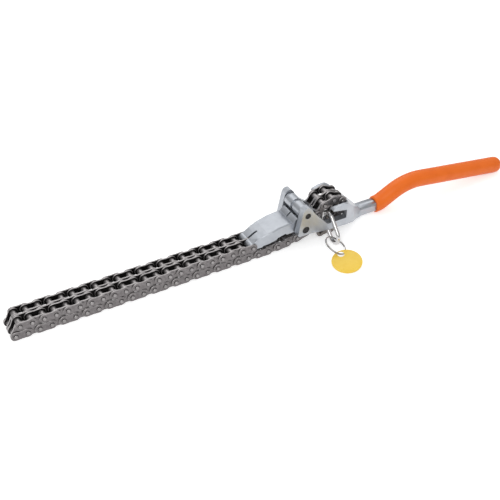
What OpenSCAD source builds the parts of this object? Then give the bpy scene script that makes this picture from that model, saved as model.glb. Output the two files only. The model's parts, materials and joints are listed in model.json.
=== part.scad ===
// Chain oil filter wrench: a bent lever handle with a forked head, a swinging hook and a double-strand chain.
// All sizes are in millimetres. X runs along the tool towards the grip, Z is up from the table it lies on.

/* [Chain] */
// Distance between neighbouring chain pins
chain_pitch = 9.525; // [9:0.025:11]
// Distance between the two strands
strand_spacing = 10.24; // [10:0.02:12]
// Height of a link plate round its pin
plate_eye_d = 8; // [7.4:0.1:8.4]
// Height of a link plate at its waist
plate_waist = 7.3; // [6:0.1:7.4]
// Thickness of an inner plate
inner_plate_t = 1.3; // [1:0.05:1.6]
// Thickness of an outer plate
outer_plate_t = 1.04; // [0.9:0.02:1.6]
// Thickness of the plate between the strands
middle_plate_t = 1.3; // [1:0.05:1.5]
// Free width between the inner plates of a strand
inner_width = 5.72; // [5.2:0.02:6.2]
// Diameter of a chain pin
chain_pin_d = 3.28; // [2.8:0.02:3.5]
// Outer diameter of a bush
bush_d = 4.6; // [4.2:0.05:5.2]
// How far a riveted pin end stands out of its plate
rivet_proud = 0.9; // [0.4:0.1:1.6]

/* [Head] */
// Height of the hook pivot above the table
pivot_height = 20.5; // [20:0.1:23]
// Distance from the hook pivot up to the dog pivot
pivot_spacing = 13.7; // [13.4:0.1:16]
// How far the dog pivot sits behind the hook pivot
dog_setback = 1.6; // [0:0.1:3]
// Diameter of the hook pivot pin
hook_pivot_d = 6.6; // [5:0.1:7.4]
// Diameter of the dog pivot pin
dog_pivot_d = 5.5; // [4:0.1:7]
// Thickness of a cheek
cheek_t = 6.1; // [5:0.1:7]
// Distance from the hook pivot to the end of the fork's throat
throat_depth = 48.5; // [48:0.5:56]
// Length of the solid root behind the throat
root_len = 16; // [12:0.5:24]

/* [Hook and dog] */
// Distance from the hook pivot forward to the chain pin at the hook's tip
hook_reach = 46; // [42:0.5:54]
// Diameter of the hook's rear knuckle
hook_knuckle_d = 12; // [10:0.2:12.4]
// Radius of the shoulder in front of the hook's knuckle
hook_shoulder_r = 9.8; // [8.6:0.1:9.9]
// Diameter of the dog's barrel
dog_barrel_d = 11.4; // [10:0.2:11.6]
// Reach of the dog's teeth from its pivot
dog_tooth_reach = 15.4; // [12:0.1:15.6]

/* [Handle] */
// Width of the bare shank
shank_w = 11; // [10:0.2:14]
// Height of the bare shank
shank_h = 9; // [8:0.2:11]
// Length of the bare shank between the root and the grip
shank_len = 17.5; // [8:0.5:24]
// Diameter of the bar inside the grip
core_d = 9.6; // [8:0.1:11]
// Diameter over the dipped grip
grip_d = 15.2; // [13:0.1:17]
// Angle at which the grip rises from the shank
rise_angle = 27; // [20:0.5:32]
// Length of the rising straight stretch
rise_len = 12.3; // [9:0.1:18]
// Angle at which the grip falls to its end
drop_angle = 8.2; // [7:0.1:10]

/* [Tether] */
// Length over the oval tether link
link_len = 32; // [30:0.5:33]
// Width over the oval tether link
link_w = 17.4; // [17:0.1:18.4]
// Wire diameter of the tether link
link_wire = 3.4; // [3:0.1:3.6]
// Mean diameter of the split ring
ring_d = 20; // [18.6:0.1:21]
// Height of the split ring over both turns
ring_h = 1.8; // [1.4:0.1:2.2]
// Width of the split ring's wire
ring_t = 1; // [0.8:0.1:1.4]
// Diameter of the tag
tag_d = 26; // [22:0.5:30]
// Thickness of the tag
tag_t = 0.8; // [0.6:0.1:1]
// Diameter of the hole in the tag
tag_hole_d = 6; // [5.8:0.1:7]

/* [Hidden] */
$fn = 48;
top_units = 11;
lower_units = 11;
feed_units = 6;

// Clearances
seat_gap = 0.02;
running_gap = 0.05;
pin_gap = 0.04;
plate_gap = 0.15;
run_gap = 0.35;
cheek_clear = 1;
side_clear = 0.6;
feed_clear = 1.5;
throat_clear = 2.5;
table_clear = 0.2;
ring_seat = 0.6;

// Chain stations across the tool
strand_y = strand_spacing / 2;
inner_face = inner_width / 2;
inner_mid = inner_face + inner_plate_t / 2;
strand_half = inner_face + inner_plate_t;
chain_inner_half = strand_y + strand_half;
outer_plate_y = chain_inner_half + plate_gap + outer_plate_t / 2;
pin_half = outer_plate_y + outer_plate_t / 2 + rivet_proud;
cheek_in = pin_half + cheek_clear;
cheek_out = cheek_in + cheek_t;

// Chain runs, seen from the side as [x, z] with the hook pivot at x = 0
eye_r = plate_eye_d / 2;
lower_z = eye_r;
top_z = lower_z + plate_eye_d + run_gap;
turn_dx = sqrt(chain_pitch * chain_pitch - (top_z - lower_z) * (top_z - lower_z));
top_pins = 2 * top_units;
function top_pin(k) = [-hook_reach - (top_pins - 1 - k) * chain_pitch, top_z];
lower_start = [top_pin(0)[0] - turn_dx, lower_z];

// Line that the chain follows through the head, one pin after another
pivot = [0, pivot_height];
dog_pivot = [dog_setback, pivot_height + pivot_spacing];
feed_r = hook_knuckle_d / 2 + eye_r + feed_clear;
throat_x = throat_depth - eye_r - throat_clear;
function round_pivot(r, a) = [r * cos(a), pivot_height + r * sin(a)];
feed_line = [
    lower_start,
    [-32, lower_z],
    round_pivot(feed_r + 4, -115),
    round_pivot(feed_r + 0.2, -62),
    round_pivot(feed_r + 2.4, -20),
    round_pivot(feed_r + 6.4, 14),
    round_pivot(feed_r + 12, 28),
    [throat_x - 14, dog_pivot[1] + 0.4],
    [throat_x - 6, dog_pivot[1] + 1.4],
    [throat_x - 1, dog_pivot[1] - 1],
    [throat_x, dog_pivot[1] - 7],
    [throat_x - 3, pivot_height - 2],
    [throat_x - 8, pivot_height - 10],
    [throat_x - 12, lower_z + 0.2],
    [-20, lower_z]
];
function stretch(i) = norm(feed_line[i + 1] - feed_line[i]);
function on_line(s, i = 0) =
    i >= len(feed_line) - 2 || s <= stretch(i)
        ? feed_line[i] + (feed_line[i + 1] - feed_line[i]) * s / stretch(i)
        : on_line(s - stretch(i), i + 1);
function one_pitch_on(s, low, high, n = 40) =
    n == 0 ? low
        : let (mid = (low + high) / 2)
            norm(on_line(mid) - on_line(s)) < chain_pitch
                ? one_pitch_on(s, mid, high, n - 1)
                : one_pitch_on(s, low, mid, n - 1);
function pins_from(s, n) =
    n == 0 ? []
        : let (next = one_pitch_on(s, s + 0.7 * chain_pitch, s + 2 * chain_pitch))
            concat([on_line(next)], pins_from(next, n - 1));
lower_pins = concat([lower_start], pins_from(0, 2 * (lower_units + feed_units) + 2));

// Fork
ear_front = 7.7;
ear_floor = 5.3;
ear_crown = 8.2;
ear_x = dog_pivot[0];
ear_top = dog_pivot[1] + ear_crown;
notch_floor = pivot_height - 1;
notch_front = 21.5;
notch_back = throat_depth - 8;
bar_floor = pivot_height - 7.8;
beak_floor = notch_floor + 8.2;
beak_tip = notch_front + 5;
beak_top = beak_floor + 6.9;
beak_slope = 4;
root_x = throat_depth + root_len;
shank_z = grip_d / 2 + table_clear;
shank_end = root_x + shank_len;
shank_corner = 0.9;
root_lap = 2;
shank_round_d = norm([shank_w, shank_h]) - 2 * shank_corner;
throat_round = 6;
shoulder_x = throat_depth - 8;

// Handle centre line
bend_r = 18;
crest_r = 50;
grip_r = grip_d / 2;
rise_start = [shank_end + 1, shank_z];
rise_end = rise_start + bend_r * [sin(rise_angle), 1 - cos(rise_angle)];
crest_start = rise_end + rise_len * [cos(rise_angle), sin(rise_angle)];
crest_centre = crest_start + crest_r * [sin(rise_angle), -cos(rise_angle)];
crest_end = crest_centre + crest_r * [sin(drop_angle), cos(drop_angle)];
drop_len = (crest_end[1] - grip_r) / sin(drop_angle);
grip_end = crest_end + drop_len * [cos(drop_angle), -sin(drop_angle)];
grip_sides = 20;
grip_lip = 0.7;
bend_steps = 4;
crest_steps = 7;
handle_line = concat(
    [for (i = [0:bend_steps]) let (h = rise_angle * i / bend_steps)
        concat(rise_start + bend_r * [sin(h), 1 - cos(h)], [h])],
    [for (i = [0:crest_steps]) let (h = rise_angle - (rise_angle + drop_angle) * i / crest_steps)
        concat(crest_centre + crest_r * [-sin(h), cos(h)], [h])],
    [concat(grip_end, [-drop_angle])]
);

// Hook
tip = top_pin(top_pins - 1);
tip_r = eye_r - 0.1;
hook_half = cheek_in - side_clear - 0.6;
prong_half = chain_inner_half;
slit_half = strand_y - strand_half;
slit_end = tip[0] + eye_r + 5;
flare_start = tip[0] + eye_r + 1.2;
flare_end = flare_start + 9;
hook_bore = hook_pivot_d / 2 + running_gap;
knuckle_slit = 0.8;
shoulder_top = 116;
shoulder_foot = 176;

// Dog
dog_half = cheek_in - side_clear;
dog_bore = dog_pivot_d / 2 + running_gap;
tooth_half = inner_width / 2 - 0.45;
tooth_angle = -26;
tooth_root = 5;
tooth_tip = 2.6;
dog_slot_half = middle_plate_t / 2 + 0.9;
dog_slot_r = dog_bore + 1.6;

// Tether link round the near arm's lower bar
link_lean = 45;
link_x = notch_front + 4.5;
bar_mid_y = -(cheek_in + cheek_out) / 2;
bar_mid_z = (notch_floor + bar_floor) / 2;
link_straight = link_len - link_w;
link_mid_r = (link_w - link_wire) / 2;
link_centre_z = link_straight / 2 * cos(link_lean) + link_w / 2;
link_slide = (bar_mid_z - link_centre_z) / cos(link_lean);
link_centre_y = bar_mid_y - link_slide * sin(link_lean);

// Split ring through the link and the tag
ring_pitch = 14;
ring_roll = 26;
ring_r = ring_d / 2;
ring_turn = 25;
// A point of the ring's middle line, at an angle from the rear, seen from the ring's centre
function on_ring(a) = ring_r * [
    sin(a) * cos(ring_roll) + cos(a) * sin(ring_pitch) * sin(ring_roll),
    cos(a) * cos(ring_pitch),
    cos(a) * sin(ring_pitch) * cos(ring_roll) - sin(a) * sin(ring_roll)
];
ring_drop = (ring_r + ring_t / 2) * sqrt(pow(sin(ring_pitch) * cos(ring_roll), 2) + pow(sin(ring_roll), 2));
ring_z = ring_drop + ring_h / 2 + table_clear;
ring_slant = cos(ring_turn) * cos(ring_roll) - sin(ring_turn) * sin(ring_pitch) * sin(ring_roll);
ring_room = link_mid_r - (link_wire + norm([ring_t, ring_h])) / 2 / ring_slant - ring_seat;
ring_cross = on_ring(ring_turn);
ring_x = link_x - ring_cross[0];
link_bend = [link_centre_y, link_centre_z] - link_straight / 2 * [sin(link_lean), cos(link_lean)];
ring_rise = ring_z + ring_cross[2] - link_bend[1];
ring_y = link_bend[0] - sqrt(ring_room * ring_room - ring_rise * ring_rise) - ring_cross[1];
ring_front = [ring_x, ring_y, ring_z] + on_ring(180);

// Tag
tag_hole_in = tag_d / 2 - tag_hole_d / 2 - 0.6;
tag_roll = -7;
tag_rest = 0.8;
tag_pitch = asin((ring_front[2] - tag_t / 2 - tag_rest) / (tag_d / 2 + tag_hole_in));

// The origin is the middle of the whole tool's footprint, on the table
x_min = lower_start[0] - eye_r;
x_max = grip_end[0] + grip_r;
y_max = cheek_out;
y_min = ring_front[1] - (tag_d / 2 + tag_hole_in) * cos(tag_pitch) - tag_t / 2 * sin(tag_pitch);
origin = [(x_min + x_max) / 2, (y_min + y_max) / 2, 0];

steel = "silver";
chain_steel = [0.27, 0.24, 0.23];
bush_steel = [0.42, 0.39, 0.37];
rivet_steel = [0.5, 0.48, 0.46];
black_steel = [0.12, 0.12, 0.13];
grip_orange = [0.93, 0.36, 0.07];
tag_yellow = [0.96, 0.8, 0.2];

// Moves a shape from the hook pivot frame to the tool's own frame
module place() {
    translate(-origin) children();
}

// A side outline given as [x, z], as thick as y_from to y_to
module side_slab(y_from, y_to) {
    translate([0, y_to, 0]) rotate([90, 0, 0]) linear_extrude(height = y_to - y_from) children();
}

// A round bar across the tool
module cross_bar(p, d, y_from, y_to) {
    side_slab(y_from, y_to) translate(p) circle(d = d);
}

// A waisted link plate with two holes
module link_plate(a, b, y, t, hole_d) {
    turn = atan2(b[1] - a[1], b[0] - a[0]);
    side_slab(y - t / 2, y + t / 2) translate(a) rotate(turn) difference() {
        union() {
            for (x = [0, chain_pitch]) translate([x, 0]) circle(d = plate_eye_d);
            translate([0, -plate_waist / 2]) square([chain_pitch, plate_waist]);
        }
        for (x = [0, chain_pitch]) translate([x, 0]) circle(d = hole_d);
    }
}

// Outer link: near, middle and far plates on two pins
module outer_link(a, b, pins) {
    plate_hole = chain_pin_d + 2 * seat_gap;
    color(chain_steel) {
        for (side = [-1, 1]) link_plate(a, b, side * outer_plate_y, outer_plate_t, plate_hole);
        link_plate(a, b, 0, middle_plate_t, plate_hole);
    }
    color(rivet_steel) for (p = pins) cross_bar(p, chain_pin_d, -pin_half, pin_half);
}

// Inner link: two plates and two bushes in each strand
module inner_link(a, b) {
    for (strand = [-strand_y, strand_y]) {
        color(chain_steel) for (side = [-1, 1])
            link_plate(a, b, strand + side * inner_mid, inner_plate_t, bush_d + 2 * seat_gap);
        color(bush_steel) for (p = [a, b]) difference() {
            cross_bar(p, bush_d, strand - strand_half, strand + strand_half);
            cross_bar(p, chain_pin_d + 2 * pin_gap, strand - strand_half - 1, strand + strand_half + 1);
        }
    }
}

// Two pitches of chain: an outer link from a to b and an inner link from b to c
module chain_unit(a, b, c) {
    place() {
        outer_link(a, b, [a, b]);
        inner_link(b, c);
    }
}

// Upper run, counted from the hook's tip; the last one also holds the link that turns to the lower run
module top_chain(i) {
    first = top_pins - 1 - 2 * (i - 1);
    last = i < top_units ? top_pin(first - 2) : lower_start;
    chain_unit(top_pin(first), top_pin(first - 1), last);
}

// Lower run, counted from the head; the last one meets the turn link with short pin ends only
module lower_chain(i) {
    first = 2 * (lower_units - i);
    a = lower_pins[first];
    b = lower_pins[first + 1];
    place() {
        outer_link(a, b, i < lower_units ? [a, b] : [b]);
        if (i == lower_units) color(rivet_steel) for (side = [0, 1]) mirror([0, side, 0])
            cross_bar(a, chain_pin_d, outer_plate_y - outer_plate_t / 2, pin_half);
        inner_link(b, lower_pins[first + 2]);
    }
}

// Stretch of chain held in the head
module feed_chain(i) {
    first = 2 * (lower_units + i - 1);
    chain_unit(lower_pins[first], lower_pins[first + 1], lower_pins[first + 2]);
}

// Free end of the chain, closed by an end pin
module tail_chain() {
    first = 2 * (lower_units + feed_units);
    chain_unit(lower_pins[first], lower_pins[first + 1], lower_pins[first + 2]);
    place() color(rivet_steel) cross_bar(lower_pins[first + 2], chain_pin_d, -pin_half, pin_half);
}

// Side view of the forked head
module fork_outline() {
    polygon([
        [-ear_front, pivot_height - ear_floor + 1.6],
        [-ear_front + 1.4, pivot_height - ear_floor],
        [3, pivot_height - ear_floor],
        [16, bar_floor + 1],
        [notch_front + 8, bar_floor],
        [notch_back, bar_floor - 0.6],
        [throat_depth + 5, shank_z - shank_h / 2 + 4.4],
        [root_x, shank_z - shank_h / 2],
        [root_x, shank_z + shank_h / 2],
        [throat_depth + 9, shank_z + shank_h / 2 + 7],
        [throat_depth, beak_top - 7],
        [notch_back + 2, beak_top - 1.2],
        [notch_back - 2, beak_top],
        [notch_back - 8, beak_top - 0.5],
        [beak_tip + 1.6, beak_top - 2],
        [beak_tip, beak_top - 3.6],
        [beak_tip + 0.6, beak_floor + 2.6],
        [notch_back, beak_floor],
        [notch_back, notch_floor],
        [notch_front, notch_floor],
        [ear_x + 6.8, ear_top - 8],
        [ear_x + 3.6, ear_top - 2.6],
        [ear_x + 1.4, ear_top - 0.3],
        [ear_x - 1.2, ear_top],
        [ear_x - 3.4, ear_top - 1.2],
        [ear_x - 4.8, ear_top - 4.2]
    ]);
}

// Plan view of the forked head: two arms that run together into the root
module fork_plan() {
    half = shank_w / 2;
    difference() {
        polygon([
            [-ear_front - 1, -cheek_out],
            [shoulder_x, -cheek_out],
            [throat_depth + 3, -cheek_out + 4.5],
            [root_x - 5, -half - 2.4],
            [root_x, -half],
            [root_x, half],
            [root_x - 5, half + 2.4],
            [throat_depth + 3, cheek_out - 4.5],
            [shoulder_x, cheek_out],
            [-ear_front - 1, cheek_out]
        ]);
        translate([-ear_front - 2, -cheek_in])
            square([throat_depth + ear_front + 2 - throat_round, 2 * cheek_in]);
        translate([-ear_front - 2, -cheek_in + throat_round])
            square([throat_depth + ear_front + 2, 2 * (cheek_in - throat_round)]);
        for (side = [-1, 1])
            translate([throat_depth - throat_round, side * (cheek_in - throat_round)]) circle(r = throat_round);
    }
}

// Slope ground off the inner top edge of one arm
module arm_slope() {
    translate([beak_tip - 1, 0, 0]) rotate([90, 0, 90])
        linear_extrude(height = throat_depth - beak_tip + 1) polygon([
            [cheek_in, beak_top - beak_slope],
            [cheek_in + beak_slope + 1, beak_top + 1],
            [cheek_in - throat_round, beak_top + 1],
            [cheek_in - throat_round, beak_top - beak_slope]
        ]);
}

// Ring of points round one station [x, z, heading] of the handle's centre line
function ring_at(station, r) = [
    for (i = [0:grip_sides - 1]) let (a = 360 * i / grip_sides) [
        station[0] - r * sin(a) * sin(station[2]),
        r * cos(a),
        station[1] + r * sin(a) * cos(station[2])
    ]
];

// Triangles between ring number k and the next one
function skin(k, n) = [
    for (i = [0:n - 1], half = [0, 1]) let (j = (i + 1) % n)
        half == 0 ? [k * n + i, (k + 1) * n + j, k * n + j] : [k * n + i, (k + 1) * n + i, (k + 1) * n + j]
];

// Solid of rings, flat at the first one and the last one
module ring_solid(rings) {
    n = grip_sides;
    last = len(rings) - 1;
    polyhedron(
        points = [for (ring = rings, p = ring) p],
        faces = concat(
            [[for (i = [0:n - 1]) i]],
            [for (k = [0:last - 1], face = skin(k, n)) face],
            [[for (i = [n - 1:-1:0]) last * n + i]]
        )
    );
}

// Forged fork, shank and the bar inside the grip
module handle_fork() {
    color(steel) place() {
        difference() {
            intersection() {
                side_slab(-cheek_out, cheek_out) fork_outline();
                translate([0, 0, -1]) linear_extrude(height = ear_top + 2) fork_plan();
            }
            cross_bar(pivot, hook_pivot_d + 2 * seat_gap, -cheek_out - 1, cheek_out + 1);
            cross_bar(dog_pivot, dog_pivot_d + 2 * seat_gap, -cheek_out - 1, cheek_out + 1);
            for (side = [0, 1]) mirror([0, side, 0]) arm_slope();
        }
        intersection() {
            translate([root_x, -shank_w / 2, shank_z - shank_h / 2]) cube([shank_len, shank_w, shank_h]);
            translate([root_x, 0, shank_z]) rotate([0, 90, 0]) cylinder(d = shank_round_d, h = shank_len);
        }
        translate([root_x - root_lap, 0, shank_z]) rotate([0, 90, 0])
            cylinder(d = shank_h - root_lap, h = 2 * root_lap);
        ring_solid([for (station = concat([[root_x + 2, shank_z, 0]], handle_line)) ring_at(station, core_d / 2)]);
    }
}

// Dipped grip, closed at its end: the outside, round its nose and back along the bore
module grip_sleeve() {
    start = [shank_end + seat_gap, shank_z, 0];
    nose = [for (a = [30, 60, 82]) concat(
        grip_end + grip_r * sin(a) * [cos(drop_angle), -sin(drop_angle)], [-drop_angle, grip_r * cos(a)])];
    outside = concat(
        [ring_at(start, grip_r - grip_lip)],
        [for (station = handle_line) ring_at(station, grip_r)],
        [for (station = nose) ring_at(station, station[3])]
    );
    bore_r = core_d / 2 + running_gap;
    bore_end = grip_end + running_gap * [cos(drop_angle), -sin(drop_angle)];
    bore = concat([start], [for (i = [0:len(handle_line) - 2]) handle_line[i]], [concat(bore_end, [-drop_angle])]);
    color(grip_orange) place() difference() {
        ring_solid(outside);
        ring_solid([for (station = concat([[root_x, shank_z, 0]], bore)) ring_at(station, bore_r)]);
    }
}

// Side view of the hook's arm, stepped along its underside
module hook_outline() {
    polygon([
        [tip[0], tip[1] + tip_r],
        [tip[0] + 6, tip[1] + 7.4],
        [tip[0] + 14, tip[1] + 10.4],
        [-22, pivot_height + 4.8],
        [-13, pivot_height + 5.7],
        [-8.4, pivot_height + 5],
        [-3, pivot_height + 3.4],
        [0, pivot_height - 4.4],
        [-5, pivot_height - 4],
        [-14, pivot_height - 4.6],
        [-15.6, pivot_height - 3.2],
        [-23, pivot_height - 5],
        [-24.4, pivot_height - 6.6],
        [tip[0] + 10, tip[1] - 0.8],
        [tip[0] + 8.6, tip[1] - 2.2],
        [tip[0] + 2, tip[1] - tip_r + 0.6],
        [tip[0], tip[1]]
    ]);
}

// Plan view of the hook: narrow prongs that flare to the full width
module hook_plan() {
    polygon([
        [tip[0] - eye_r - 1, -prong_half],
        [flare_start, -prong_half],
        [flare_end, -hook_half],
        [hook_knuckle_d, -hook_half],
        [hook_knuckle_d, hook_half],
        [flare_end, hook_half],
        [flare_start, prong_half],
        [tip[0] - eye_r - 1, prong_half]
    ]);
}

// Side view of the shoulder that rises from the hook's arm round the pivot
module hook_shoulder() {
    middle = (shoulder_top + shoulder_foot) / 2;
    intersection() {
        translate(pivot) circle(r = hook_shoulder_r);
        polygon(concat([pivot], [
            for (a = [shoulder_top, middle, shoulder_foot]) pivot + 2 * hook_shoulder_r * [cos(a), sin(a)]
        ]));
    }
}

// Swinging hook with a slit for the middle plate and a knuckle on the pivot pin
module hook() {
    color(steel) place() difference() {
        intersection() {
            union() {
                side_slab(-hook_half, hook_half) hook_outline();
                side_slab(-hook_half, hook_half) hook_shoulder();
                cross_bar(tip, 2 * tip_r, -prong_half, prong_half);
                cross_bar(pivot, hook_knuckle_d, -hook_half, hook_half);
            }
            linear_extrude(height = ear_top) hook_plan();
        }
        translate([tip[0] - eye_r - 1, -slit_half, 0])
            cube([slit_end - tip[0] + eye_r + 1, 2 * slit_half, ear_top]);
        translate([-hook_knuckle_d / 2 + 0.6, -knuckle_slit, 0])
            cube([hook_knuckle_d, 2 * knuckle_slit, ear_top]);
        translate([-hook_shoulder_r, -knuckle_slit, pivot_height + hook_knuckle_d / 2 - 1])
            cube([hook_shoulder_r, 2 * knuckle_slit, hook_shoulder_r]);
        cross_bar(tip, chain_pin_d + 2 * pin_gap, -hook_half - 1, hook_half + 1);
        cross_bar(pivot, 2 * hook_bore, -hook_half - 1, hook_half + 1);
    }
}

// Pin that carries the hook
module hook_pivot_pin() {
    color(black_steel) place() cross_bar(pivot, hook_pivot_d, -cheek_out + 0.3, cheek_out - 0.3);
}

// Locking dog: a slotted barrel with a tooth for each strand
module chain_dog() {
    color(steel) place() difference() {
        union() {
            cross_bar(dog_pivot, dog_barrel_d, -dog_half, dog_half);
            for (strand = [-strand_y, strand_y])
                side_slab(strand - tooth_half, strand + tooth_half) translate(dog_pivot) rotate(tooth_angle)
                    polygon([
                        [0, -tooth_root],
                        [dog_tooth_reach - 3, -tooth_tip],
                        [dog_tooth_reach - 0.6, -tooth_tip / 2],
                        [dog_tooth_reach - 0.2, 0],
                        [dog_tooth_reach - 0.6, tooth_tip / 2],
                        [dog_tooth_reach - 3, tooth_tip],
                        [0, tooth_root]
                    ]);
        }
        difference() {
            cross_bar(dog_pivot, dog_barrel_d + 1, -dog_slot_half, dog_slot_half);
            cross_bar(dog_pivot, 2 * dog_slot_r, -dog_slot_half - 1, dog_slot_half + 1);
        }
        cross_bar(dog_pivot, 2 * dog_bore, -dog_half - 1, dog_half + 1);
    }
}

// Pin that carries the dog
module dog_pivot_pin() {
    color(black_steel) place() cross_bar(dog_pivot, dog_pivot_d, -cheek_out + 0.3, cheek_out - 0.3);
}

// Oval wire link that leans out through the near arm's notch
module tether_link() {
    half = link_straight / 2;
    color(steel) place() translate([link_x, link_centre_y, link_centre_z]) rotate([-link_lean, 0, 0])
        rotate([90, 0, 90]) {
            for (end = [0, 180]) rotate(end) translate([0, half, 0]) rotate_extrude(angle = 180)
                translate([link_mid_r, 0]) circle(d = link_wire);
            for (side = [-1, 1]) translate([side * link_mid_r, half, 0]) rotate([90, 0, 0])
                cylinder(d = link_wire, h = link_straight);
        }
}

// Split ring of two flat turns
module split_ring() {
    color(steel) place() translate([ring_x, ring_y, ring_z]) rotate([ring_pitch, ring_roll, 0]) rotate_extrude()
        translate([ring_r - ring_t / 2, -ring_h / 2]) square([ring_t, ring_h]);
}

// Round tag that hangs on the ring and lies forward on the table
module tag() {
    color(tag_yellow) place() translate(ring_front)
        rotate([tag_pitch, tag_roll, 0]) translate([0, -tag_hole_in, -tag_t / 2]) difference() {
            cylinder(d = tag_d, h = tag_t);
            translate([0, tag_hole_in, -1]) cylinder(d = tag_hole_d, h = tag_t + 2);
        }
}

handle_fork();
grip_sleeve();
hook();
hook_pivot_pin();
chain_dog();
dog_pivot_pin();
for (i = [1:top_units]) top_chain(i);
for (i = [1:lower_units]) lower_chain(i);
for (i = [1:feed_units]) feed_chain(i);
tail_chain();
tether_link();
split_ring();
tag();
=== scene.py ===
"""Chain oil filter wrench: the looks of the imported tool, one section per kind of piece."""
import json
import math

import bmesh
import bpy
from mathutils import Matrix, Vector


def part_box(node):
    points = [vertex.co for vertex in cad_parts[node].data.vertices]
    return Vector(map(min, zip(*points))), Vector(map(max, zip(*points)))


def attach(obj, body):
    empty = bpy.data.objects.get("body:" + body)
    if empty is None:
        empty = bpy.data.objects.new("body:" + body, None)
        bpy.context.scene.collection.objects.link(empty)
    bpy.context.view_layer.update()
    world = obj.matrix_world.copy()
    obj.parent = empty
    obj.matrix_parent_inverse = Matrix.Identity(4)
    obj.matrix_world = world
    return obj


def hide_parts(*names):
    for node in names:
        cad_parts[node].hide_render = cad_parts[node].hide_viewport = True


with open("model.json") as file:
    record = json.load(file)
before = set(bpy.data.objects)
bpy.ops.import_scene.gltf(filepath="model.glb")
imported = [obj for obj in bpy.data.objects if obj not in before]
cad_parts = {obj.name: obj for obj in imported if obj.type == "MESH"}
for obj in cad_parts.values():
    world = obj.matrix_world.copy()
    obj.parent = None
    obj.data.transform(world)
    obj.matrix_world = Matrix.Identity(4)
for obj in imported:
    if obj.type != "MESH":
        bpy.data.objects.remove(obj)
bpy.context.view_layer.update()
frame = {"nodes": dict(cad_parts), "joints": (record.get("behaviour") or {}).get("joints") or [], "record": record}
scene = bpy.context.scene

MM = 0.001
ALONG = Vector((1, 0, 0))
ACROSS = Vector((0, 1, 0))
UP = Vector((0, 0, 1))
WELD = 0.001 * MM


def joint_point(name):
    """Where a joint's axis is, in metres."""
    return Vector(next(j["pos_m"] for j in frame["joints"] if j["name"] == name))


def box_middle(node):
    """Middle of a node's box."""
    low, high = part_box(node)
    return (Vector(low) + Vector(high)) / 2


HOOK_PIN = joint_point("hook_pivot")
MID_Y = HOOK_PIN.y


# Camera: the photograph's view, in the tool's frame
CAMERA_FROM_HOOK_PIN = Vector((-333.3, -534.6, 483.0)) * MM
CAMERA_YAW = math.radians(28.45)
CAMERA_DOWN = math.radians(38.30)
CAMERA_LENS = 65.62
SENSOR = 36.0
CAMERA_NEAR = 0.01


def add_camera():
    """A plain pinhole camera at the photograph's viewing angle."""
    data = bpy.data.cameras.new("view")
    data.lens = CAMERA_LENS
    data.sensor_width = SENSOR
    data.clip_start = CAMERA_NEAR
    camera = bpy.data.objects.new("view", data)
    camera.location = Vector((HOOK_PIN.x, MID_Y, 0)) + CAMERA_FROM_HOOK_PIN
    camera.rotation_euler = (math.pi / 2 - CAMERA_DOWN, 0, -CAMERA_YAW)
    scene.collection.objects.link(camera)
    scene.camera = camera


# Materials
NOISE_LOW = 0.3
NOISE_HIGH = 0.7
PHOSPHATE_SMOOTHER = 0.07
PHOSPHATE_ROUGHER = 0.09
WIRE_SMOOTHER = 0.7
WIRE_ROUGHER = 1.6


def new_material(name, color, metallic, roughness):
    """A principled material, with its shader and object coordinates."""
    mat = bpy.data.materials.new(name)
    mat.use_nodes = True
    shader = mat.node_tree.nodes["Principled BSDF"]
    shader.inputs["Base Color"].default_value = (*color, 1)
    shader.inputs["Metallic"].default_value = metallic
    shader.inputs["Roughness"].default_value = roughness
    coords = mat.node_tree.nodes.new("ShaderNodeTexCoord")
    return mat, shader, coords.outputs["Object"]


def noise(mat, coords, grain_mm, detail=3.0):
    """Noise with grains of about grain_mm."""
    nodes, links = mat.node_tree.nodes, mat.node_tree.links
    tex = nodes.new("ShaderNodeTexNoise")
    tex.inputs["Scale"].default_value = 1 / (grain_mm * MM)
    tex.inputs["Detail"].default_value = detail
    links.new(coords, tex.inputs["Vector"])
    return tex.outputs["Fac"]


def spread(mat, value, low, high):
    """Maps the usual range of a noise value to the span from low to high."""
    nodes, links = mat.node_tree.nodes, mat.node_tree.links
    span = nodes.new("ShaderNodeMapRange")
    span.inputs["From Min"].default_value = NOISE_LOW
    span.inputs["From Max"].default_value = NOISE_HIGH
    span.inputs["To Min"].default_value = low
    span.inputs["To Max"].default_value = high
    links.new(value, span.inputs["Value"])
    return span.outputs["Result"]


def mottle(mat, shader, value, dark, light):
    """Colours the surface from dark to light by a noise value."""
    nodes, links = mat.node_tree.nodes, mat.node_tree.links
    mix = nodes.new("ShaderNodeMix")
    mix.data_type = "RGBA"
    mix.inputs["A"].default_value = (*dark, 1)
    mix.inputs["B"].default_value = (*light, 1)
    links.new(spread(mat, value, 0, 1), mix.inputs["Factor"])
    links.new(mix.outputs["Result"], shader.inputs["Base Color"])


def uneven_gloss(mat, shader, value, low, high):
    """Varies the roughness by a noise value."""
    mat.node_tree.links.new(spread(mat, value, low, high), shader.inputs["Roughness"])


def bump(mat, shader, value, height_mm, strength):
    """Raises the surface by a noise value."""
    nodes, links = mat.node_tree.nodes, mat.node_tree.links
    node = nodes.new("ShaderNodeBump")
    node.inputs["Strength"].default_value = strength
    node.inputs["Distance"].default_value = height_mm * MM
    links.new(value, node.inputs["Height"])
    links.new(node.outputs["Normal"], shader.inputs["Normal"])


def satin_plating():
    """Bead-blasted and plated forging: pale bluish grey, soft sheen, faint cloudiness."""
    mat, shader, coords = new_material("satin_plating", (0.43, 0.452, 0.487), metallic=0.8, roughness=0.35)
    mottle(mat, shader, noise(mat, coords, grain_mm=9), dark=(0.4, 0.42, 0.455), light=(0.465, 0.488, 0.522))
    uneven_gloss(mat, shader, noise(mat, coords, grain_mm=3), low=0.3, high=0.4)
    bump(mat, shader, noise(mat, coords, grain_mm=0.35, detail=4), height_mm=0.012, strength=0.5)
    return mat


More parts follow.
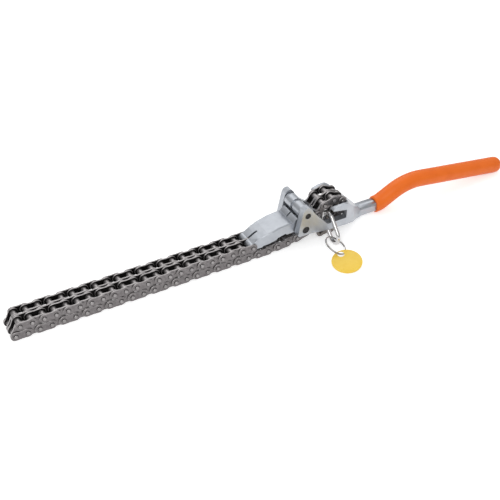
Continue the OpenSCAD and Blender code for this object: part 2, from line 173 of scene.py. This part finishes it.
def phosphate(name, dark, light, rough):
    """Phosphated chain steel: dark grey-brown with oily patches."""
    mat, shader, coords = new_material(name, light, metallic=0.8, roughness=rough)
    mottle(mat, shader, noise(mat, coords, grain_mm=2.2, detail=5), dark, light)
    patches = noise(mat, coords, grain_mm=4)
    uneven_gloss(mat, shader, patches, rough - PHOSPHATE_SMOOTHER, rough + PHOSPHATE_ROUGHER)
    bump(mat, shader, noise(mat, coords, grain_mm=0.25, detail=4), height_mm=0.02, strength=0.5)
    return mat


def dipped_vinyl():
    """Dipped grip: warm orange, satin, with the faint waves of a dipped coat."""
    mat, shader, coords = new_material("dipped_vinyl", (0.92, 0.175, 0.011), metallic=0.0, roughness=0.4)
    shader.inputs["Specular IOR Level"].default_value = 0.35
    mottle(mat, shader, noise(mat, coords, grain_mm=14), dark=(0.89, 0.16, 0.009), light=(0.95, 0.185, 0.013))
    uneven_gloss(mat, shader, noise(mat, coords, grain_mm=5), low=0.36, high=0.48)
    bump(mat, shader, noise(mat, coords, grain_mm=1.4, detail=4), height_mm=0.03, strength=0.5)
    return mat


def black_oxide():
    """Blackened pin ends."""
    mat, shader, coords = new_material("black_oxide", (0.02, 0.02, 0.022), metallic=0.5, roughness=0.42)
    grain = noise(mat, coords, grain_mm=1.5)
    mottle(mat, shader, grain, dark=(0.012, 0.012, 0.014), light=(0.026, 0.026, 0.028))
    bump(mat, shader, noise(mat, coords, grain_mm=0.3), height_mm=0.02, strength=0.5)
    return mat


def bright_plating(name, color, rough):
    """Bright plated wire with fine drawing marks."""
    mat, shader, coords = new_material(name, color, metallic=1.0, roughness=rough)
    marks = noise(mat, coords, grain_mm=1.2, detail=4)
    uneven_gloss(mat, shader, marks, rough * WIRE_SMOOTHER, rough * WIRE_ROUGHER)
    bump(mat, shader, noise(mat, coords, grain_mm=0.4, detail=2), height_mm=0.006, strength=0.4)
    return mat


def yellow_lacquer():
    """Lacquered tag: warm yellow, a little cloudy, scuffed to a softer gloss."""
    mat, shader, coords = new_material("yellow_lacquer", (0.96, 0.65, 0.075), metallic=0.0, roughness=0.32)
    mottle(mat, shader, noise(mat, coords, grain_mm=6), dark=(0.94, 0.62, 0.06), light=(0.98, 0.68, 0.09))
    uneven_gloss(mat, shader, noise(mat, coords, grain_mm=2.5, detail=5), low=0.26, high=0.42)
    bump(mat, shader, noise(mat, coords, grain_mm=0.8), height_mm=0.008, strength=0.4)
    return mat


PLATING = satin_plating()
PLATE_STEEL = phosphate("plate_steel", (0.15, 0.138, 0.14), (0.235, 0.22, 0.222), 0.4)
BUSH_STEEL = phosphate("bush_steel", (0.3, 0.285, 0.285), (0.4, 0.382, 0.382), 0.34)
RIVET_STEEL = phosphate("rivet_steel", (0.26, 0.247, 0.247), (0.36, 0.344, 0.344), 0.34)
# Paler steel for the plates' rims: partly wear and partly a painted highlight of edges catching the light
WORN_AND_HIGHLIT_EDGE_STEEL = phosphate("worn_and_highlit_edge_steel", (0.3, 0.285, 0.285), (0.44, 0.42, 0.42), 0.34)
# Near-black painted shade for the chain's inward faces, the middle plates and the seam rings round the rivet heads
PAINTED_SHADE_STEEL = phosphate("painted_shade_steel", (0.02, 0.018, 0.018), (0.04, 0.037, 0.037), 0.36)
CHAIN_FINISHES = [PLATE_STEEL, BUSH_STEEL, RIVET_STEEL, WORN_AND_HIGHLIT_EDGE_STEEL, PAINTED_SHADE_STEEL]
PLATE, BUSHED, RIVETED, WORN_AND_HIGHLIT, PAINTED_SHADE = range(5)
VINYL = dipped_vinyl()
OXIDE = black_oxide()
LINK_PLATING = bright_plating("link_plating", (0.62, 0.61, 0.61), 0.16)
RING_PLATING = bright_plating("ring_plating", (0.5, 0.485, 0.475), 0.2)
LACQUER = yellow_lacquer()


# Shared ways of making a mesh
SMOOTH_ANGLE = math.radians(38)
RIM_ANGLE = math.radians(60)
FULL_TURN = 2 * math.pi


def show(bm, name, body, nodes, materials):
    """Turns a bmesh into a piece that rides on a body and stands for its nodes."""
    mesh = bpy.data.meshes.new(name)
    bm.to_mesh(mesh)
    bm.free()
    for mat in materials:
        mesh.materials.append(mat)
    mesh.polygons.foreach_set("use_smooth", [True] * len(mesh.polygons))
    mesh.set_sharp_from_angle(angle=SMOOTH_ANGLE)
    piece = bpy.data.objects.new(name, mesh)
    scene.collection.objects.link(piece)
    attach(piece, body)
    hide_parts(*nodes)
    return piece


def arc(bm, vert, centre, turn, steps):
    """Draws an arc from a vertex round a centre, seen from the side, and gives its last vertex."""
    made = bmesh.ops.spin(bm, geom=[vert], cent=centre, axis=ACROSS, angle=turn, steps=steps)
    return made["geom_last"][0]


def thicken(bm, faces, depth):
    """Pulls flat faces out into a slab."""
    moved = bmesh.ops.extrude_face_region(bm, geom=faces)["geom"]
    verts = [g for g in moved if isinstance(g, bmesh.types.BMVert)]
    bmesh.ops.translate(bm, verts=verts, vec=depth)
    bmesh.ops.recalc_face_normals(bm, faces=bm.faces)


def bevel(bm, edges, width, steps):
    """Rounds some edges, all of them by no more than the one with the least room allows."""
    bmesh.ops.bevel(bm, geom=edges, offset=width, offset_type="OFFSET", affect="EDGES", segments=steps,
                    profile=0.5, clamp_overlap=True, material=-1)


def sharp_edges(bm, sharper_than, where=None):
    """Edges that are sharper than an angle, or only the outer ones in a place."""
    edges = [e for e in bm.edges if len(e.link_faces) == 2 and e.calc_face_angle() > sharper_than]
    if where:
        edges = [e for e in edges if e.is_convex and all(where(v.co) for v in e.verts)]
    return edges


def turned(bm, profile, steps):
    """Spins a profile of points round the way across into a turned piece."""
    verts = [bm.verts.new(p) for p in profile]
    edges = [bm.edges.new(pair) for pair in zip(verts, verts[1:])]
    bmesh.ops.spin(bm, geom=verts + edges, cent=Vector(), axis=ACROSS, angle=FULL_TURN, steps=steps,
                   use_merge=True)
    close_up(bm)


def close_up(bm):
    """Welds what meets and turns every face outwards."""
    bmesh.ops.remove_doubles(bm, verts=bm.verts, dist=WELD)
    bmesh.ops.recalc_face_normals(bm, faces=bm.faces)


def new_loop(bm, centre, heading, radius, sides):
    """A circle of edges round a centre, square to a heading."""
    place = Matrix.Translation(centre) @ heading.to_track_quat("Z", "Y").to_matrix().to_4x4()
    verts = bmesh.ops.create_circle(bm, segments=sides, radius=radius, matrix=place)["verts"]
    return verts + list(dict.fromkeys(e for v in verts for e in v.link_edges))


def loop_middle(loop):
    """Middle of a loop."""
    points = [g.co for g in loop if isinstance(g, bmesh.types.BMVert)]
    return sum(points, Vector()) / len(points)


def pull(bm, loop, move, scale=1.0):
    """Extrudes a loop, moves it and draws it in or out about its middle."""
    edges = [g for g in loop if isinstance(g, bmesh.types.BMEdge)]
    made = bmesh.ops.extrude_edge_only(bm, edges=edges)["geom"]
    verts = [g for g in made if isinstance(g, bmesh.types.BMVert)]
    rim = [g for g in made if isinstance(g, bmesh.types.BMEdge) and all(v in verts for v in g.verts)]
    bmesh.ops.translate(bm, verts=verts, vec=move)
    middle = loop_middle(verts)
    bmesh.ops.scale(bm, verts=verts, vec=(scale, scale, scale), space=Matrix.Translation(-middle))
    return verts + rim


def bend(bm, loop, centre, axis, turn, steps):
    """Sweeps a loop round a centre and gives the last loop."""
    return bmesh.ops.spin(bm, geom=loop, cent=centre, axis=axis, angle=turn, steps=steps)["geom_last"]


def cap(bm, loop):
    """Fills a loop with one face."""
    bmesh.ops.contextual_create(bm, geom=[g for g in loop if isinstance(g, bmesh.types.BMEdge)])


# Chain
PITCH = 9.525 * MM
EYE_R = 4.0 * MM
WAIST = 3.65 * MM
INNER_T = 1.3 * MM
OUTER_T = 1.04 * MM
MIDDLE_T = 1.3 * MM
INNER_FACE = 2.86 * MM
STRAND_Y = 5.12 * MM
PLATE_GAP = 0.15 * MM
PIN_R = 1.64 * MM
BUSH_R = 2.3 * MM
PIN_PLAY = 0.02 * MM
RIVET_PROUD = 0.9 * MM
RIVET_SIDE = 0.5 * MM
RIVET_CROWN = 0.35 * MM
DIMPLE_R = 0.7 * MM
DIMPLE_EDGE = 0.1 * MM
DIMPLE_DEPTH = 0.3 * MM
SEAM = 0.42 * MM
SEAM_SUNK = 0.1 * MM
SEAM_PROUD = 0.03 * MM
PLATE_ROUND = 0.2 * MM
INNER_MID = INNER_FACE + INNER_T / 2
STRAND_HALF = INNER_FACE + INNER_T
OUTER_Y = STRAND_Y + STRAND_HALF + PLATE_GAP + OUTER_T / 2
PIN_HALF = OUTER_Y + OUTER_T / 2 + RIVET_PROUD
EYE_STEPS = 10
WAIST_STEPS = 2
PIN_STEPS = 12
FLAT = 0.99
SLACK = 1.1


def as_pattern(bm):
    """Keeps a bmesh as mesh data that can be copied many times."""
    mesh = bpy.data.meshes.new("pattern")
    bm.to_mesh(mesh)
    bm.free()
    return mesh


def stamp(bm, pattern, matrix):
    """Adds a moved copy of a pattern to a bmesh."""
    copy = pattern.copy()
    copy.transform(matrix)
    bm.from_mesh(copy)
    bpy.data.meshes.remove(copy)


def finish_faces(faces, finish):
    """Gives faces one of the chain's finishes."""
    for face in faces:
        face.material_index = finish


def plate_pattern(thickness, outside):
    """A waisted link plate from the origin to a pitch along, with painted shade on its inside face and rims paler
    from wear and a painted highlight.
    """
    bm = bmesh.new()
    waist_r = ((PITCH / 2) ** 2 + WAIST ** 2 - EYE_R ** 2) / (2 * (EYE_R - WAIST))
    waist_z = WAIST + waist_r
    lean = math.atan2(waist_z, PITCH / 2)
    eye_turn = 2 * (math.pi - lean)
    waist_turn = math.pi - 2 * lean
    near, far = Vector(), ALONG * PITCH
    over = Vector((PITCH / 2, 0, waist_z))
    under = Vector((PITCH / 2, 0, -waist_z))
    v = bm.verts.new(Vector((math.cos(lean), 0, math.sin(lean))) * EYE_R)
    v = arc(bm, v, near, -eye_turn, EYE_STEPS)
    v = arc(bm, v, under, waist_turn, WAIST_STEPS)
    v = arc(bm, v, far, -eye_turn, EYE_STEPS)
    arc(bm, v, over, waist_turn, WAIST_STEPS)
    bmesh.ops.remove_doubles(bm, verts=bm.verts, dist=WELD)
    face = bmesh.ops.contextual_create(bm, geom=bm.edges)["faces"][0]
    thicken(bm, [face], ACROSS * thickness)
    bmesh.ops.translate(bm, verts=bm.verts, vec=ACROSS * -thickness / 2)
    bevel(bm, sharp_edges(bm, RIM_ANGLE), PLATE_ROUND, 1)
    # Every rim and bevel face starts pale, partly wear and partly painted highlight; the flats then get their own
    # finish
    finish_faces(bm.faces, WORN_AND_HIGHLIT)
    finish_faces([f for f in bm.faces if f.normal.y > FLAT], outside)
    # Faces that look into the chain get the near-black painted shade
    finish_faces([f for f in bm.faces if f.normal.y < -FLAT], PAINTED_SHADE)
    return as_pattern(bm)


def pin_pattern(from_y=0.0):
    """One end of a riveted pin, from from_y out past a seam ring painted dark as shade to a peened head with a
    dimple.
    """
    bm = bmesh.new()
    head_y = PIN_HALF - RIVET_PROUD
    seam_low, seam_high = head_y - SEAM_SUNK, head_y + SEAM_PROUD
    turned(bm, [
        Vector((0, from_y, 0)),
        Vector((PIN_R, from_y, 0)),
        Vector((PIN_R, seam_low, 0)),
        Vector((PIN_R + SEAM, seam_high, 0)),
        Vector((PIN_R, seam_high, 0)),
        Vector((PIN_R, head_y + RIVET_SIDE, 0)),
        Vector((PIN_R - RIVET_CROWN, PIN_HALF, 0)),
        Vector((DIMPLE_R, PIN_HALF - DIMPLE_EDGE, 0)),
        Vector((0, PIN_HALF - DIMPLE_DEPTH, 0)),
    ], PIN_STEPS)
    finish_faces(bm.faces, RIVETED)
    # The seam ring round the head gets the near-black painted shade
    finish_faces([f for f in bm.faces if seam_low < f.calc_center_median().y < seam_high + WELD], PAINTED_SHADE)
    return as_pattern(bm)


def bush_pattern():
    """A rolled bush through both inner plates of a strand."""
    bm = bmesh.new()
    bore_r = (PIN_R + PIN_PLAY) / math.cos(math.pi / PIN_STEPS)
    turned(bm, [
        Vector((bore_r, -STRAND_HALF, 0)),
        Vector((BUSH_R, -STRAND_HALF, 0)),
        Vector((BUSH_R, STRAND_HALF, 0)),
        Vector((bore_r, STRAND_HALF, 0)),
        Vector((bore_r, -STRAND_HALF, 0)),
    ], PIN_STEPS)
    finish_faces(bm.faces, BUSHED)
    return as_pattern(bm)


OUTER_PLATE = plate_pattern(OUTER_T, PLATE)
INNER_PLATE = plate_pattern(INNER_T, PLATE)
# The middle plate sits between the strands and is painted dark as shade on both faces
MIDDLE_PLATE = plate_pattern(MIDDLE_T, PAINTED_SHADE)
PIN_END = pin_pattern()
PIN_STUB = pin_pattern(OUTER_Y - OUTER_T / 2)
BUSH = bush_pattern()
HALF_TURN = Matrix.Rotation(math.pi, 4, "Z")
END_FOR_END = Matrix.Translation(ALONG * PITCH) @ HALF_TURN


def solids_of(node):
    """Boxes of the separate solids in a CAD node, as (low, high)."""
    bm = bmesh.new()
    bm.from_mesh(frame["nodes"][node].data)
    bmesh.ops.remove_doubles(bm, verts=bm.verts, dist=WELD / 2)
    found = set()
    boxes = []
    for start in bm.verts:
        if start in found:
            continue
        found.add(start)
        group = [start]
        for v in group:
            for e in v.link_edges:
                other = e.other_vert(v)
                if other not in found:
                    found.add(other)
                    group.append(other)
        low = Vector([min(v.co[i] for v in group) for i in range(3)])
        high = Vector([max(v.co[i] for v in group) for i in range(3)])
        boxes.append((low, high))
    bm.free()
    return boxes


def chain_points(node):
    """The pins of a two-pitch piece of chain: outer link a to b, inner link b to c, and its full pins."""
    middle = {}
    pins = []
    bushes = []
    for low, high in solids_of(node):
        width = high.y - low.y
        centre = (low + high) / 2
        flat = Vector((centre.x, MID_Y, centre.z))
        if width > PIN_HALF:
            pins.append(flat)
        elif width > STRAND_HALF:
            bushes.append(flat)
        elif abs(centre.y - MID_Y) > OUTER_Y - OUTER_T / 4 and width < OUTER_T * SLACK:
            middle["outer"] = flat
        elif abs(abs(centre.y - MID_Y) - STRAND_Y) < STRAND_HALF and width < INNER_T * SLACK:
            middle["inner"] = flat
    shared = [p for p in pins if min((p - q).length for q in bushes) < PLATE_GAP]
    b = min(shared, key=lambda p: abs((p - middle["outer"]).length - PITCH / 2)
            + abs((p - middle["inner"]).length - PITCH / 2))
    return 2 * middle["outer"] - b, b, 2 * middle["inner"] - b, pins


def link_matrix(a, b, y):
    """Moves a plate pattern to lie from a to b, y off the middle."""
    way = b - a
    turn = Matrix.Rotation(-math.atan2(way.z, way.x), 4, "Y")
    return Matrix.Translation(a + ACROSS * y) @ turn


def facing(matrix, side):
    """Turns a plate of the near side end for end, so that its face with painted shade looks inwards too."""
    return matrix if side > 0 else matrix @ END_FOR_END


def chain_piece(node, body):
    """Two pitches of chain with plates, bushes and riveted pins."""
    a, b, c, pins = chain_points(node)
    bm = bmesh.new()
    for side in (-1, 1):
        stamp(bm, OUTER_PLATE, facing(link_matrix(a, b, side * OUTER_Y), side))
    stamp(bm, MIDDLE_PLATE, link_matrix(a, b, 0))
    for strand in (-STRAND_Y, STRAND_Y):
        for side in (-1, 1):
            stamp(bm, INNER_PLATE, facing(link_matrix(b, c, strand + side * INNER_MID), side))
        for p in (b, c):
            stamp(bm, BUSH, Matrix.Translation(p + ACROSS * strand))
    ends = [(p, PIN_END) for p in pins]
    if min((p - a).length for p in pins) > PLATE_GAP:
        ends.append((a, PIN_STUB))
    for p, pattern in ends:
        stamp(bm, pattern, Matrix.Translation(p))
        stamp(bm, pattern, Matrix.Translation(p) @ HALF_TURN)
    show(bm, node + "_links", body, [node], CHAIN_FINISHES)


def add_chain():
    """Every piece of chain, on the body that carries its node."""
    for body, members in frame["record"]["behaviour"]["bodies"].items():
        for node in members:
            if "chain_" in node and node != "chain_dog":
                chain_piece(node, body)


# Forged and turned steel pieces, rounded from the solids
EDGE_ANGLE = math.radians(28)
CREASE_ANGLE = math.radians(6)
CREASE_FACE = 100 * MM * MM
COPLANAR = math.radians(1)
FORK_ROUND = 0.7 * MM
ARM_ROUND = 1.8 * MM
HOOK_ROUND = 0.5 * MM
SHOULDER_CUT = 1.5 * MM
DOG_ROUND = 0.4 * MM
PIN_ROUND = 0.5 * MM
ARM_START = HOOK_PIN.x + 19 * MM
ARM_END = HOOK_PIN.x + 62 * MM
SHANK_START = HOOK_PIN.x + 64 * MM
HOOK_TOP_END = HOOK_PIN.x - 9.5 * MM
HOOK_TOP_Z = HOOK_PIN.z - 2 * MM
HOOK_SIDE = 10.9 * MM


def on_arms(p):
    """The fork's two arms behind the cheeks, which are forged as rounded bars."""
    return ARM_START < p.x < ARM_END


def on_hook_shoulders(p):
    """The long upper edges of the hook's arm, which are ground off."""
    return p.x < HOOK_TOP_END and p.z > HOOK_TOP_Z and abs(p.y - MID_Y) > HOOK_SIDE


def creases(bm):
    """Shallow edges between two large flats."""
    return [e for e in bm.edges if len(e.link_faces) == 2 and CREASE_ANGLE < e.calc_face_angle() <= EDGE_ANGLE
            and min(f.calc_area() for f in e.link_faces) > CREASE_FACE]


def rounded_solid(node, name, body, material, width, steps, first=None):
    """A node's own shape with rounded edges; all but the shank keeps its flats flat in the light."""
    bm = bmesh.new()
    bm.from_mesh(frame["nodes"][node].data)
    bmesh.ops.remove_doubles(bm, verts=bm.verts, dist=WELD)
    bmesh.ops.dissolve_limit(bm, angle_limit=COPLANAR, verts=bm.verts, edges=bm.edges)
    if first:
        where, broad, broad_steps = first
        bevel(bm, sharp_edges(bm, EDGE_ANGLE, where), broad, broad_steps)
    bevel(bm, sharp_edges(bm, EDGE_ANGLE) + creases(bm), width, steps)
    piece = show(bm, name, body, [node], [material])
    flats = piece.vertex_groups.new(name="flats")
    flats.add([v.index for v in piece.data.vertices if v.co.x < SHANK_START], 1, "ADD")
    shading = piece.modifiers.new("flat_faces", "WEIGHTED_NORMAL")
    shading.keep_sharp = True
    shading.vertex_group = flats.name


def add_steel():
    """Fork, hook, dog and their pins."""
    rounded_solid("handle_fork", "fork_forging", "handle", PLATING, FORK_ROUND, 3,
                  first=(on_arms, ARM_ROUND, 4))
    rounded_solid("hook", "hook_forging", "hook", PLATING, HOOK_ROUND, 3,
                  first=(on_hook_shoulders, SHOULDER_CUT, 1))
    rounded_solid("chain_dog", "dog_forging", "dog", PLATING, DOG_ROUND, 2)
    rounded_solid("hook_pivot_pin", "hook_pin_turned", "handle", OXIDE, PIN_ROUND, 2)
    rounded_solid("dog_pivot_pin", "dog_pin_turned", "handle", OXIDE, PIN_ROUND, 2)


# Grip
GRIP_R = 7.6 * MM
BAR_R = 4.85 * MM
GRIP_Z = GRIP_R + 0.2 * MM
BEND_START = 1 * MM
BEND_R = 18 * MM
CREST_R = 50 * MM
RISE = math.radians(27)
DROP = math.radians(8.2)
RISE_LEN = 12.3 * MM
GRIP_SIDES = 40
BEND_STEPS = 8
CREST_STEPS = 14
NOSE_STEPS = 7
NOSE_TURN = math.radians(84)
MOUTH_DEPTH = 3 * MM
# Depth and radius of the rolled mouth, from the bar out to the side of the grip
MOUTH = [
    (0.3 * MM, BAR_R + 0.1 * MM),
    (0, BAR_R + 0.6 * MM),
    (0, GRIP_R - 1.1 * MM),
    (0.25 * MM, GRIP_R - 0.5 * MM),
    (0.7 * MM, GRIP_R - 0.15 * MM),
    (BEND_START, GRIP_R),
]


def heading(angle):
    """Direction in the side view, up by an angle from the way to the grip."""
    return Vector((math.cos(angle), 0, math.sin(angle)))


def add_grip():
    """The dipped grip: a rolled mouth, two bends and a domed end."""
    start = Vector((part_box("grip_sleeve")[0][0], MID_Y, GRIP_Z))
    bm = bmesh.new()
    loop = new_loop(bm, start + ALONG * MOUTH_DEPTH, ALONG, BAR_R, GRIP_SIDES)
    cap(bm, loop)
    radius = BAR_R
    for depth, wanted in MOUTH:
        place = start + ALONG * depth
        loop = pull(bm, loop, place - loop_middle(loop), wanted / radius)
        radius = wanted
    loop = bend(bm, loop, loop_middle(loop) + UP * BEND_R, ACROSS, -RISE, BEND_STEPS)
    loop = pull(bm, loop, heading(RISE) * RISE_LEN)
    crest = loop_middle(loop) - heading(RISE + math.pi / 2) * CREST_R
    loop = bend(bm, loop, crest, ACROSS, RISE + DROP, CREST_STEPS)
    drop_len = (loop_middle(loop).z - GRIP_R) / math.sin(DROP)
    loop = pull(bm, loop, heading(-DROP) * drop_len)
    for i in range(NOSE_STEPS):
        before, after = (NOSE_TURN * k / NOSE_STEPS for k in (i, i + 1))
        step = GRIP_R * (math.sin(after) - math.sin(before))
        loop = pull(bm, loop, heading(-DROP) * step, math.cos(after) / math.cos(before))
    cap(bm, loop)
    close_up(bm)
    show(bm, "grip_dip", "handle", ["grip_sleeve"], [VINYL])


# Tether link, split ring and tag
LINK_LEAN = math.radians(45)
LINK_HALF = 7.3 * MM
LINK_R = 7.0 * MM
LINK_WIRE_R = 1.9 * MM
LINK_STEPS = 16
RING_R = 10 * MM
RING_WIDTH = 0.5 * MM
RING_TURN_H = 0.85 * MM
RING_PITCH = math.radians(14)
RING_ROLL = math.radians(26)
RING_FLAT = math.radians(318)
RING_CLIMB = math.radians(42)
RING_SIDES = 10
RING_STEPS = 60
CLIMB_STEPS = 8
TAG_R = 13 * MM
TAG_HALF = 0.4 * MM
TAG_HOLE_R = 3 * MM
TAG_HOLE_IN = 9.4 * MM
TAG_ROLL = math.radians(-7)
TAG_REST = 0.8 * MM
TAG_SOFT = 0.15 * MM
TAG_SIDES = 72


def add_tether_link():
    """The oval wire link: two half turns of round wire and two straight limbs."""
    centre = box_middle("tether_link")
    long_way = Vector((0, math.sin(LINK_LEAN), math.cos(LINK_LEAN)))
    side_way = Vector((0, math.cos(LINK_LEAN), -math.sin(LINK_LEAN)))
    top, foot = centre + long_way * LINK_HALF, centre - long_way * LINK_HALF
    bm = bmesh.new()
    loop = new_loop(bm, top + side_way * LINK_R, long_way, LINK_WIRE_R, LINK_STEPS)
    loop = bend(bm, loop, top, ALONG, math.pi, LINK_STEPS)
    loop = pull(bm, loop, foot - top)
    loop = bend(bm, loop, foot, ALONG, math.pi, LINK_STEPS)
    pull(bm, loop, top - foot)
    close_up(bm)
    show(bm, "tether_link_wire", "tether_link", ["tether_link"], [LINK_PLATING])


def add_split_ring():
    """The split ring: one flat turn, a climb and a second turn on top of it."""
    bm = bmesh.new()
    loop = new_loop(bm, ALONG * RING_R, ACROSS, RING_WIDTH, RING_SIDES)
    verts = [g for g in loop if isinstance(g, bmesh.types.BMVert)]
    bmesh.ops.scale(bm, verts=verts, vec=(1, 1, RING_TURN_H / (2 * RING_WIDTH)))
    bmesh.ops.translate(bm, verts=verts, vec=UP * -RING_TURN_H / 2)
    cap(bm, loop)
    loop = bend(bm, loop, Vector(), UP, RING_FLAT, RING_STEPS)
    climb = UP * RING_TURN_H / CLIMB_STEPS
    loop = bmesh.ops.spin(bm, geom=loop, cent=Vector(), axis=UP, dvec=climb, angle=RING_CLIMB,
                          steps=CLIMB_STEPS)["geom_last"]
    loop = bend(bm, loop, Vector(), UP, RING_FLAT, RING_STEPS)
    cap(bm, loop)
    close_up(bm)
    place = Matrix.Translation(box_middle("split_ring")) @ Matrix.Rotation(RING_ROLL, 4, "Y")
    bmesh.ops.transform(bm, matrix=place @ Matrix.Rotation(RING_PITCH, 4, "X"), verts=bm.verts)
    show(bm, "split_ring_coil", "split_ring", ["split_ring"], [RING_PLATING])


def add_tag():
    """The tag: a bare disc with softened edges and a hole near its rim."""
    hole = joint_point("tag_swing")
    pitch = math.asin((hole.z - TAG_HALF - TAG_REST) / (TAG_R + TAG_HOLE_IN))
    bm = bmesh.new()
    loops = (new_loop(bm, UP * TAG_HALF - ACROSS * TAG_HOLE_IN, UP, TAG_R, TAG_SIDES)
             + new_loop(bm, UP * TAG_HALF, UP, TAG_HOLE_R, TAG_SIDES // 2))
    rims = [g for g in loops if isinstance(g, bmesh.types.BMEdge)]
    bmesh.ops.triangle_fill(bm, edges=rims, use_beauty=True)
    thicken(bm, list(bm.faces), UP * -2 * TAG_HALF)
    bevel(bm, sharp_edges(bm, RIM_ANGLE), TAG_SOFT, 2)
    close_up(bm)
    place = Matrix.Translation(hole) @ Matrix.Rotation(TAG_ROLL, 4, "Y") @ Matrix.Rotation(pitch, 4, "X")
    bmesh.ops.transform(bm, matrix=place, verts=bm.verts)
    show(bm, "tag_disc", "tag", ["tag"], [LACQUER])


# Floor and light
FLOOR_COLOR = (0.9, 0.9, 0.9)
FLOOR_LIFT = 0.5
FLOOR_SIZE = 40
WHITE = (1, 1, 1, 1)
ROOM_WALLS = 0.36
ROOM_CEILING = 0.62
CEILING_HEIGHT = 0.7
# Name, place, size in metres and power in watts of each lamp
LAMPS = [
    ("overhead", (0.25, 0.75, 1.0), 1.2, 4.6),
    ("front", (-0.5, -0.8, 0.8), 0.8, 4.8),
]


def add_floor():
    """A pale floor that is lifted to white where it is seen or mirrored and keeps a soft shadow."""
    bm = bmesh.new()
    bmesh.ops.create_grid(bm, x_segments=1, y_segments=1, size=FLOOR_SIZE)
    mesh = bpy.data.meshes.new("floor")
    bm.to_mesh(mesh)
    bm.free()
    floor = bpy.data.objects.new("floor", mesh)
    scene.collection.objects.link(floor)
    mat, shader, _ = new_material("pale_floor", FLOOR_COLOR, metallic=0.0, roughness=0.9)
    nodes, links = mat.node_tree.nodes, mat.node_tree.links
    rays = nodes.new("ShaderNodeLightPath")
    seen = rays.outputs["Is Camera Ray"]
    for kind in ("Is Glossy Ray", "Is Transmission Ray"):
        either = nodes.new("ShaderNodeMath")
        either.operation = "MAXIMUM"
        links.new(seen, either.inputs[0])
        links.new(rays.outputs[kind], either.inputs[1])
        seen = either.outputs["Value"]
    lift = nodes.new("ShaderNodeMath")
    lift.operation = "MULTIPLY"
    lift.inputs[1].default_value = FLOOR_LIFT
    links.new(seen, lift.inputs[0])
    shader.inputs["Emission Color"].default_value = WHITE
    links.new(lift.outputs["Value"], shader.inputs["Emission Strength"])
    mesh.materials.append(mat)


def add_lamp(name, place, size, power):
    """A soft square lamp that faces the head of the tool."""
    data = bpy.data.lights.new(name, "AREA")
    data.size = size
    data.energy = power
    lamp = bpy.data.objects.new(name, data)
    lamp.location = place
    lamp.rotation_euler = (HOOK_PIN - Vector(place)).to_track_quat("-Z", "Y").to_euler()
    scene.collection.objects.link(lamp)


def add_light():
    """Plain soft studio light: a room with a paler ceiling, a large lamp overhead and one in front."""
    world = bpy.data.worlds.new("studio")
    world.use_nodes = True
    nodes, links = world.node_tree.nodes, world.node_tree.links
    room = nodes["Background"]
    room.inputs["Color"].default_value = WHITE
    coords = nodes.new("ShaderNodeTexCoord")
    height = nodes.new("ShaderNodeSeparateXYZ")
    links.new(coords.outputs["Generated"], height.inputs["Vector"])
    fade = nodes.new("ShaderNodeMapRange")
    fade.inputs["From Max"].default_value = CEILING_HEIGHT
    fade.inputs["To Min"].default_value = ROOM_WALLS
    fade.inputs["To Max"].default_value = ROOM_CEILING
    links.new(height.outputs["Z"], fade.inputs["Value"])
    links.new(fade.outputs["Result"], room.inputs["Strength"])
    scene.world = world
    for lamp in LAMPS:
        add_lamp(*lamp)


add_camera()
add_chain()
add_steel()
add_grip()
add_tether_link()
add_split_ring()
add_tag()
add_floor()
add_light()
scene.view_settings.view_transform = "Standard"
